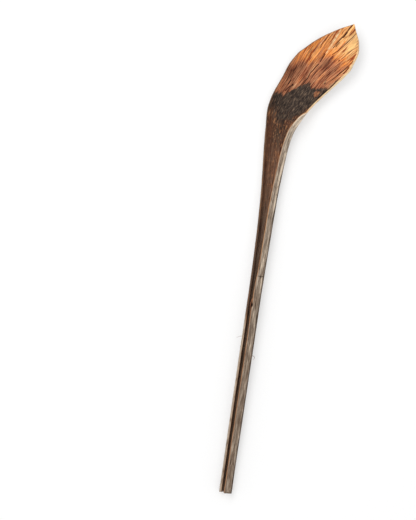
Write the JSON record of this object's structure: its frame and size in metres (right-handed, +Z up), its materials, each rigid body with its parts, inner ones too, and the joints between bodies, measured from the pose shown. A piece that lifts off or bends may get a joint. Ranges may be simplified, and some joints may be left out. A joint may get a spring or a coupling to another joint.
{
  "type": "dried palm frond",
  "caption": "Dried palm frond lying hollow side up: a channelled woody stalk, rolled almost shut, that opens at an elbow into a boat-shaped blade with a pointed tip.",
  "frame": {"origin": "the centre of the frond's box, on the surface that it lies on", "axes": "+Y along the stalk, from the cut foot towards the blade; +X to the side that the blade bends to; +Z up, the way the hollow faces"},
  "size_m": [0.1068, 0.6264, 0.0247],
  "materials": {
    "dried_husk": "matt and weathered, with raised fibres"
  },
  "bodies": {
    "root": {"frond": "dried_husk"}
  },
  "joints": []
}
